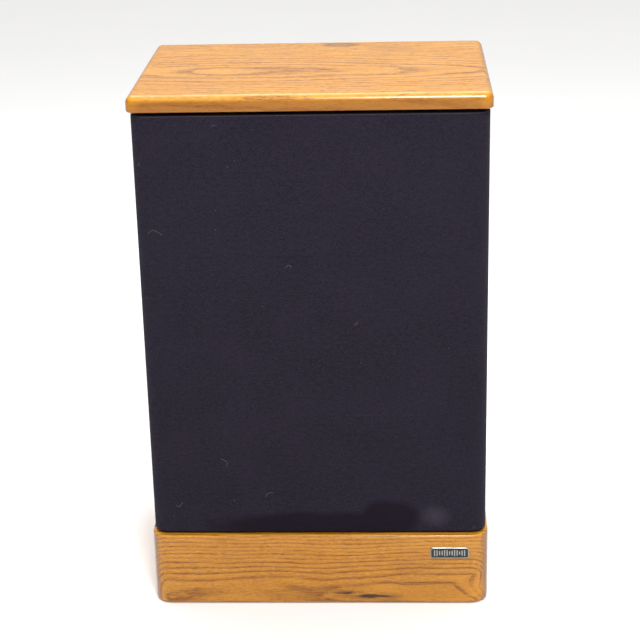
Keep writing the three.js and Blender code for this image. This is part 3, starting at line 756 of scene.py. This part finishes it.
def make_grille():
    low, high = CLOTH
    rings = []
    for inset, z in cloth_levels():
        row = []
        for x, y in cloth_row(inset):
            facing = max(0.0, min(1.0, (low.y + 0.004 - y) / 0.004)) if inset < CLOTH_FOLD else 0.0
            row.append((x, y + facing * cloth_front_sag(x, z), z))
        rings.append(row)
    points, faces = loft(rings, closed=False)
    middle_x = (low.x + high.x) / 2
    patches = [(0.070, 0.014, 0.038, 0.024), (0.025, 0.008, 0.050, 0.020), (-0.020, 0.006, 0.100, 0.020),
               (0.118, 0.018, 0.018, 0.016)]
    *rubs, dust = [(Vector((middle_x + x, low.y, low.z + z)), *half_sizes) for x, z, *half_sizes in patches]
    knit = grille_knit("grille_knit", CROSS_BAR_Z + HALF_BAR - 0.004, rubs, [dust])
    cloth = add_piece("knitted_grille_cloth", points, faces, knit, "grille_cloth", "cloth", body="grille",
                      crisp_angle=60, weighted=False)
    thickness = cloth.modifiers.new("thickness", "SOLIDIFY")
    thickness.thickness = CLOTH_THICKNESS
    thickness.offset = -1
    make_lint(low, high)
    finish_node("grille_frame", moulded("frame_plastic", srgb(24, 24, 26), 0.45))


def make_lint(low, high):
    """Short pale fibres caught on the cloth, given as (share of width, share of height, length, lean)."""
    caught = [(0.055, 0.735, 0.014, 8), (0.223, 0.180, 0.010, 110), (0.353, 0.098, 0.009, 42),
              (0.082, 0.072, 0.007, 12), (0.235, 0.975, 0.004, 20), (0.022, 0.893, 0.003, 80),
              (0.965, 0.012, 0.003, 75), (0.62, 0.52, 0.004, 15), (0.43, 0.655, 0.006, 175)]
    fibres = []
    for share_x, share_z, length, lean in caught:
        x, z = low.x + share_x * (high.x - low.x), low.z + share_z * (high.z - low.z)
        angle = math.radians(lean)
        bend = rng.uniform(0.12, 0.4) * rng.choice((-1, 1))
        path = []
        for i in range(9):
            t = i / 8 - 0.5
            across = bend * length * math.sin(math.pi * (t + 0.5) * 1.3)
            px = x + t * length * math.cos(angle) - across * math.sin(angle)
            pz = z + t * length * math.sin(angle) + across * math.cos(angle)
            path.append((px, low.y - 0.00012 + cloth_front_sag(px, pz), pz))
        fibres.append(tube(path, 0.00014, 5))
    pale = felted("lint_pale", srgb(104, 98, 110), srgb(150, 146, 150), 0.95, 0.00005, 900)
    add_piece("lint_fibres", *gathered(fibres), pale, slot="cloth", body="grille", weighted=False)


def make_sockets():
    rubber = moulded("socket_rubber", srgb(26, 26, 27), 0.6)
    for i in range(1, 5):
        name = f"grille_socket_{i}"
        low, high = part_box(name)
        centre = centre_line((low, high))
        depth = (high.y - low.y) / MM
        profile = [(0, depth), (6.5, depth), (6.5, 0.9), (8.2, 0.9), (8.5, 0.6), (8.3, 0.15), (7.8, 0),
                   (5.1, 0), (4.3, 0.7), (4.3, depth - 1.5), (0, depth - 1.5)]
        add_piece("rubber_" + name, *lathe(profile, low.y, centre, 40), rubber, name, "black_plastic")


# ---- screws

HEAD_RISE = 0.62


def screw_mesh():
    """A pan head with a cross recess, made once at unit head radius: it sits on y = 0 and faces -Y."""
    profile = [(0, -HEAD_RISE), (0.35, -0.60), (0.62, -0.52), (0.84, -0.36), (0.97, -0.16), (1.0, 0.0),
               (0.44, 0.0), (0.44, 3.4), (0.3, 3.9), (0, 4.2)]
    arms = [block((-0.52, -0.9, -0.11), (0.52, -0.22, 0.11), 0.02, 0.01, 0.01, 1, 1),
            block((-0.11, -0.9, -0.52), (0.11, -0.22, 0.52), 0.02, 0.01, 0.01, 1, 1)]
    made = []
    for name, (points, faces) in (("screw_head", outward(*turned(profile, (0, 0), 32))),
                                  ("screw_recess", gathered(arms))):
        mesh = bpy.data.meshes.new(name)
        mesh.from_pydata(points, [], faces)
        made.append(linked(name, mesh))
    difference = made[0].modifiers.new("recess", "BOOLEAN")
    difference.object = made[1]
    difference.operation = "DIFFERENCE"
    difference.solver = "EXACT"
    difference.use_self = True
    evaluated = made[0].evaluated_get(bpy.context.evaluated_depsgraph_get())
    finished = bpy.data.meshes.new_from_object(evaluated)
    for spare in made:
        bpy.data.objects.remove(spare)
    return [tuple(v.co) for v in finished.vertices], [tuple(p.vertices) for p in finished.polygons]


def make_screws():
    points, faces = screw_mesh()
    steel = metal("black_screw_steel", srgb(70, 70, 74), 0.38)
    sets = [("woofer_screw", 4, 1), ("tweeter_screw", 3, 1), ("terminal_screw", 4, -1)]
    for stem, count, facing in sets:
        for i in range(1, count + 1):
            name = f"{stem}_{i}"
            low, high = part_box(name)
            radius = (high.x - low.x) / 2
            centre = middle(low, high)
            face_y = low.y + HEAD_RISE * radius if facing > 0 else high.y - HEAD_RISE * radius
            turn = Matrix.Rotation(rng.uniform(0, math.pi), 4, "Y")
            flip = Matrix.Rotation(0 if facing > 0 else math.pi, 4, "Z")
            place = Matrix.Translation((centre.x, face_y, centre.z)) @ flip @ turn @ Matrix.Scale(radius, 4)
            placed = [tuple(place @ Vector(p)) for p in points]
            add_piece("cross_" + name, placed, faces, steel, name, "black_steel", crisp_angle=28)


# ---- drivers

def domed(edge, rise, seat, thickness, rim, steps):
    """A thin dome's profile in millimetres: its front, then the rim points, then its back."""
    sphere = (edge ** 2 + rise ** 2) / (2 * rise)
    sweep = math.degrees(math.asin(edge / sphere))
    centre = (0, seat - rise + sphere)
    skin = arc(centre, sphere, -90, -90 + sweep, steps) + rim
    skin += arc(centre, sphere - thickness, -90 + sweep, -90, steps)
    skin[0], skin[-1] = (0, skin[0][1]), (0, skin[-1][1])
    return skin


def make_woofer():
    centre = WOOFER_CENTRE
    axis = Vector((centre[0], 0, centre[1]))
    paper = felted("cone_paper", srgb(38, 37, 36), srgb(74, 71, 66), 0.85, 0.0004, 260)
    foam = felted("surround_foam", srgb(30, 30, 31), srgb(42, 42, 43), 0.75, 0.0002, 700)
    gasket_foam = felted("gasket_foam", srgb(33, 33, 34), srgb(50, 50, 51), 0.85, 0.0003, 800)

    ring = [(115.5, -4.2), (115.5, -6.4), (115.9, -6.9), (116.4, -7.0), (126.5, -7.0), (127.1, -6.8),
            (127.5, -6.2), (127.5, -4.2)]
    add_piece("woofer_trim_ring", *lathe(ring, BAFFLE_Y, centre, 128), gasket_foam, "woofer_gasket", "foam")

    sheet = 1.1
    slope = [(92, 6.2), (84, 9.7), (70, 16.6), (52, 25.2), (36, 32.6), (28, 35.8), (20.9, 38)]
    back = [(radius, depth + sheet) for radius, depth in reversed(slope)]
    cone = [(98, 5.3), (94, 5.5)] + slope + back + [(94, 5.5 + sheet), (98, 5.3 + sheet)]
    add_piece("woofer_paper_cone", *lathe(cone, BAFFLE_Y, centre, 128), paper, "woofer_cone", "paper",
              body="woofer_moving")

    outer_lip, inner_lip = -3.9, 4.2
    roll_centre = (107, outer_lip)
    over = arc(roll_centre, 8, 0, -180, 24)
    under = arc(roll_centre, 7.2, -180, 0, 24)
    flank = [(98.95, 0), (98.75, 2.6), (98.2, 3.8), (97.2, inner_lip)]
    under_flank = [(97.2, inner_lip + 0.8), (98.6, 4.7), (99.5, 3.2), (99.75, 0)]
    profile = [(119.5, outer_lip)] + over + flank + [(91, inner_lip), (91, inner_lip + 0.8)] + under_flank
    profile += under + [(119.5, outer_lip + 0.8)]
    roll = add_piece("foam_surround", *lathe(profile, BAFFLE_Y, centre, 128), foam, "woofer_surround",
                     "foam", body=None, crisp_angle=50, weighted=False)
    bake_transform(roll)

    seat = 31.6
    skin = domed(27, 10, seat, 0.8, [(28.6, seat + 0.9), (28.6, seat + 1.6)], 16)
    add_piece("woofer_dome_cap", *lathe(skin, BAFFLE_Y, centre, 96), paper, "woofer_dust_cap", "paper",
              body="woofer_moving")

    resin = felted("spider_resin_cloth", srgb(176, 132, 62), srgb(200, 160, 96), 0.85, 0.0002, 900)
    top = [(20.6 + 43.4 * t, 44 + 9.2 * t + 1.3 * math.sin(t * 11 * math.pi)) for t in
           (i / 66 for i in range(67))]
    waves = top + [(radius, y + 0.6) for radius, y in reversed(top)]
    spider = add_piece("corrugated_spider", *lathe(waves, BAFFLE_Y, centre, 64), resin, "woofer_spider",
                       "spider_cloth", body=None, crisp_angle=70, weighted=False)
    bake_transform(spider)
    finish_node("woofer_basket", metal("basket_steel", srgb(60, 61, 64), 0.45))
    finish_node("woofer_voice_coil", metal("coil_copper", srgb(196, 122, 72), 0.35, (*axis,)))


def make_tweeter():
    centre = TWEETER_CENTRE
    plate = moulded("faceplate_plastic", srgb(27, 27, 29), 0.4, 1100)
    silk = felted("doped_silk", srgb(44, 42, 42), srgb(66, 62, 60), 0.62, 0.00015, 1500)
    face = [(51.2, -0.3), (16, -0.3), (15.8, -0.7)]
    face += [(15.8 + 10.5 * (1 - math.cos(a)), -0.9 - 3.3 * math.sin(a)) for a in
             (math.pi / 2 * i / 10 for i in range(1, 11))]
    face += [(31, -4.3), (31.6, -3.9), (32.4, -3.9), (33, -4.3)]
    face += [(50.6, -4.3), (51.5, -4.0), (52, -3.4), (52, -0.3)]
    add_piece("tweeter_moulded_faceplate", *lathe(face, BAFFLE_Y, centre, 112), plate, "tweeter_faceplate",
              "black_plastic")

    roll = arc((15.2, 1.75), 1.3, -170, -10, 10)
    inner_roll = arc((15.2, 1.75), 0.85, -10, -170, 10)
    rim = [(12.9, 1.9)] + roll + [(17.6, 1.5), (17.6, 2.0), (16.8, 2.0)] + inner_roll
    rim += [(13.6, 2.1), (12.9, 2.3), (12.9, 7.5), (12.4, 7.5), (12.4, 2.2)]
    skin = domed(12.5, 6, 1.6, 0.5, rim, 14)
    add_piece("tweeter_silk_dome", *lathe(skin, BAFFLE_Y, centre, 72), silk, "tweeter_dome", "silk",
              body="tweeter_moving")


def make_hidden_parts():
    """The pieces inside the box keep their CAD shape and get their own finishes."""
    woofer_axis = (WOOFER_CENTRE[0], 0, WOOFER_CENTRE[1])
    tweeter_axis = (TWEETER_CENTRE[0], 0, TWEETER_CENTRE[1])
    zinc_woofer = metal("zinc_woofer", srgb(190, 192, 188), 0.32, woofer_axis)
    zinc_tweeter = metal("zinc_tweeter", srgb(190, 192, 188), 0.32, tweeter_axis)
    ferrite = felted("ferrite", srgb(62, 62, 65), srgb(80, 80, 83), 0.7, 0.0002, 500)
    copper = metal("winding_copper", srgb(196, 122, 72), 0.35)
    finishes = {
        "woofer_top_plate": zinc_woofer, "woofer_pole_piece": zinc_woofer, "woofer_magnet": ferrite,
        "tweeter_top_plate": zinc_tweeter, "tweeter_back_plate": zinc_tweeter, "tweeter_magnet": ferrite,
        "crossover_board": moulded("board_laminate", srgb(52, 96, 66), 0.4),
        "crossover_inductor": copper,
        "crossover_capacitor": moulded("capacitor_sleeve", srgb(206, 164, 62), 0.35),
        "crossover_resistor": moulded("resistor_ceramic", srgb(222, 218, 206), 0.7),
    }
    insulation = moulded("lead_insulation", srgb(46, 46, 48), 0.5)
    for name in ("input_lead", "woofer_lead", "tweeter_lead"):
        finishes[name] = insulation
    for name, material in finishes.items():
        finish_node(name, material)


def make_wadding():
    """The batt of fibre behind the drivers: a slab whose faces puff and pull in at its edges."""
    low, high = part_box("damping_batt")
    across, up = 36, 36
    centre, half = middle(low, high), (high - low) / 2
    sides = []
    for facing in (-1, 1):
        sheet = []
        for j in range(up + 1):
            for i in range(across + 1):
                u, v = 2 * i / across - 1, 2 * j / up - 1
                swell = (1 - u ** 6) * (1 - v ** 6)
                lump = 0.88 + 0.06 * math.sin(7 * u + 3 * v) + 0.06 * math.sin(5 * v - 4 * u + 1)
                puff = facing * (0.12 + 0.88 * swell * lump)
                sheet.append((centre.x + u * half.x, centre.y + puff * half.y, centre.z + v * half.z))
        sides.append(sheet)
    width = across + 1
    points = sides[0] + sides[1]
    back = len(sides[0])
    faces = []
    for j in range(up):
        for i in range(across):
            a = j * width + i
            faces.append((a, a + 1, a + 1 + width, a + width))
            faces.append(tuple(back + k for k in (a, a + width, a + 1 + width, a + 1)))
    rim = list(range(width)) + [j * width + across for j in range(1, width)]
    rim += [up * width + i for i in range(across - 1, -1, -1)] + [j * width for j in range(up - 1, 0, -1)]
    for a, b in zip(rim, rim[1:] + rim[:1]):
        faces.append((a, a + back, b + back, b))
    fibre = felted("polyester_fibre", srgb(226, 222, 210), srgb(244, 242, 236), 1.0, 0.0012, 160)
    batt = add_piece("fibre_batt", *outward(points, faces), fibre, "damping_batt", "wadding",
                     weighted=False)


# ---- input panel

LEVER_LEAN = -18
FUNNEL_DROP = 0.0085


def make_input_panel():
    low, high = CUP
    wall, floor_y = 0.002, low.y + 0.002
    centre = middle(low, high)
    plastic = moulded("cup_plastic", srgb(28, 28, 30), 0.42)
    flange_back = high.y - 0.0018

    flange = ((high.x - low.x) / 2, (high.z - low.z) / 2)
    body = (0.046, 0.028)
    mouth = (body[0] - wall, body[1] - wall)
    rows = [(body, -0.0015, 0.004, low.y), (body, 0, 0.005, low.y + 0.0015), (body, 0, 0.005, flange_back),
            (flange, 0, 0.006, flange_back), (flange, 0, 0.006, high.y - 0.0007),
            (flange, -0.0007, 0.0055, high.y), (mouth, 0.0012, 0.006, high.y),
            (mouth, 0, 0.005, high.y - 0.0012), (mouth, -0.0012, 0.004, floor_y + 0.002),
            (mouth, -0.0032, 0.003, floor_y)]
    rings = []
    for (half_x, half_z), growth, radius, y in rows:
        reach_x, reach_z = half_x + growth, half_z + growth
        corners = [(centre.x + side * reach_x, centre.z + side * reach_z) for side in (-1, 1)]
        rings.append([(x, y, z) for x, z in rounded_outline(*corners, (radius,) * 4, 0, 6)])
    add_piece("terminal_moulded_cup", *outward(*loft(rings)), plastic, "terminal_cup", "black_plastic")
    foam = felted("cup_gasket_foam", srgb(34, 34, 35), srgb(52, 52, 53), 0.9, 0.0002, 900)
    finish_node("terminal_gasket", foam)

    red = moulded("lever_red", srgb(172, 26, 24), 0.36, 900, 0.00008)
    black = moulded("lever_black", srgb(22, 22, 24), 0.4, 900, 0.00008)
    for side, colour in (("black", black), ("red", red)):
        make_lever(side, colour, plastic, floor_y)


def make_lever(side, colour, plastic, floor_y):
    """A sprung lever on its pin between two cheeks, with a wire funnel under it."""
    name = f"terminal_lever_{side}"
    joint = next(j for j in frame["joints"] if j["name"] == f"lever_{side}_press")
    pin = Vector(joint["pos_m"])
    tilt = Matrix.Translation(pin) @ Matrix.Rotation(math.radians(LEVER_LEAN), 4, "X")
    half = 0.009
    parts = [
        block((-half, -0.0015, 0.0), (half, 0.0015, 0.022), 0.0006, 0.0006, 0.0006, 3, 3),
        block((-half, -0.0012, 0.016), (half, 0.0032, 0.0219), 0.0012, 0.001, 0.001, 4, 4),
    ]
    for i in range(4):
        z = 0.0045 + i * 0.0028
        parts.append(block((-half + 0.0015, 0.001, z), (half - 0.0015, 0.0021, z + 0.0013), 0.0003,
                           0.0004, 0.0004, 2, 2))
    placed = []
    for points, faces in parts:
        placed.append(([tuple(tilt @ Vector(p)) for p in points], faces))
    barrel = []
    for x in (-half, -half + 0.0003, half - 0.0003, half):
        radius = 0.0019 if abs(x) == half else 0.0022
        barrel.append([(pin.x + x, pin.y + radius * math.cos(a), pin.z + radius * math.sin(a))
                       for a in (2 * math.pi * i / 24 for i in range(24))])
    placed.append(outward(*loft(barrel)))
    slot = "red_plastic" if side == "red" else "black_plastic"
    add_piece(f"press_lever_{side}", *gathered(placed), colour, name, slot, body=f"lever_{side}")

    cheeks = []
    for facing in (-1, 1):
        inner = pin.x + facing * (half + 0.0004)
        x0, x1 = sorted((inner, inner + facing * 0.002))
        cheeks.append(block((x0, floor_y - 0.0005, pin.z - 0.004), (x1, pin.y + 0.0024, pin.z + 0.004),
                            0.0005, 0.0012, 0.0012, 3, 4))
    add_piece(f"lever_cheeks_{side}", *gathered(cheeks), plastic, slot="black_plastic")
    funnel = [(1.5, -0.3), (1.5, 1.2), (2.0, 2.2), (3.4, 3.0), (3.8, 2.9), (4.4, 1.0), (4.4, -0.3)]
    hole = (pin.x, pin.z - FUNNEL_DROP)
    add_piece(f"wire_funnel_{side}", *lathe(funnel, floor_y, hole, 32), colour, slot=slot)


# ---- stage and camera

SKY_TOP = 1.5
SKY_BACK = 0.35
SKY_BASE = 0.08
BACKDROP_TONE = 0.86
SOFTBOX_WATTS = 20
FLOOR_HALF = 14.0
CAMERA_PLACE = (0.0811, -1.6959, 0.9059)
CAMERA_PITCH_YAW_ROLL = (20.58, -2.73, -1.36)
LENS_MM = 97.2
SENSOR_MM = 36


def make_floor():
    g = Finish("studio_floor", Roughness=0.9, Specular_IOR_Level=0.2)
    g.colour(g.mix(g.noise(scale=3), srgb(249, 249, 249), srgb(252, 252, 252)))
    mesh = bpy.data.meshes.new("studio_floor")
    corners = [(x * FLOOR_HALF, y * FLOOR_HALF, 0) for x, y in ((-1, -1), (1, -1), (1, 1), (-1, 1))]
    mesh.from_pydata(corners, [], [(0, 1, 2, 3)])
    mesh.materials.append(g.material)
    linked("studio_floor", mesh)


def make_world():
    """A sky that is brightest overhead, seen by the camera itself as one flat pale tone."""
    world = bpy.data.worlds.new("studio")
    g = Graph(world, "BACKGROUND")
    split = g.axes(g.node("ShaderNodeTexCoord").outputs["Generated"])
    up = g.math("MAXIMUM", split[2], 0.0)
    behind = g.math("MAXIMUM", split[1], 0.0)
    glow = g.math("MULTIPLY_ADD", g.math("POWER", up, 2.0), SKY_TOP, SKY_BASE)
    glow = g.math("MULTIPLY_ADD", g.math("POWER", behind, 2.0), SKY_BACK, glow)
    seen = g.node("ShaderNodeLightPath").outputs["Is Camera Ray"]
    shown = g.math("MULTIPLY_ADD", g.math("SUBTRACT", BACKDROP_TONE, glow), seen, glow)
    g.shader.inputs["Color"].default_value = (1.0, 0.995, 0.985, 1)
    g.links.new(shown, g.shader.inputs["Strength"])
    bpy.context.scene.world = world


def add_softbox(name, place, aim, size):
    light = bpy.data.lights.new(name, "AREA")
    light.shape = "RECTANGLE"
    light.size, light.size_y = size
    light.energy = SOFTBOX_WATTS
    box = linked(name, light)
    box.location = place
    box.rotation_euler = (Vector(aim) - Vector(place)).to_track_quat("-Z", "Y").to_euler()


def make_lights():
    top = CAP[1].z
    add_softbox("front_softbox", (0.19, -1.18, top + 1.03), (0.08, -0.12, top), (0.29, 0.55))
    add_softbox("back_softbox", (0.0, 0.75, top + 1.3), (0, 0, top), (1.8, 1.2))


def make_camera():
    """The viewing angle: a little right of centre, above the cap, looking down about 20 degrees."""
    pitch, yaw, roll = (math.radians(angle) for angle in CAMERA_PITCH_YAW_ROLL)
    forward = Vector((math.sin(yaw) * math.cos(pitch), math.cos(yaw) * math.cos(pitch), -math.sin(pitch)))
    level = Vector((math.cos(yaw), -math.sin(yaw), 0))
    upright = level.cross(forward)
    right = math.cos(roll) * level + math.sin(roll) * upright
    up = -math.sin(roll) * level + math.cos(roll) * upright
    camera = bpy.data.cameras.new("camera")
    camera.sensor_width = SENSOR_MM
    camera.lens = LENS_MM
    holder = linked("camera", camera)
    turn = Matrix((right, up, -forward)).transposed().to_4x4()
    holder.matrix_world = Matrix.Translation(CAMERA_PLACE) @ turn
    bpy.context.scene.camera = holder
    bpy.context.scene.view_settings.view_transform = "Standard"


make_camera()
make_oak()
make_badge()
make_cabinet()
make_grille()
make_sockets()
make_screws()
make_woofer()
make_tweeter()
make_hidden_parts()
make_wadding()
make_input_panel()
make_floor()
make_world()
make_lights()
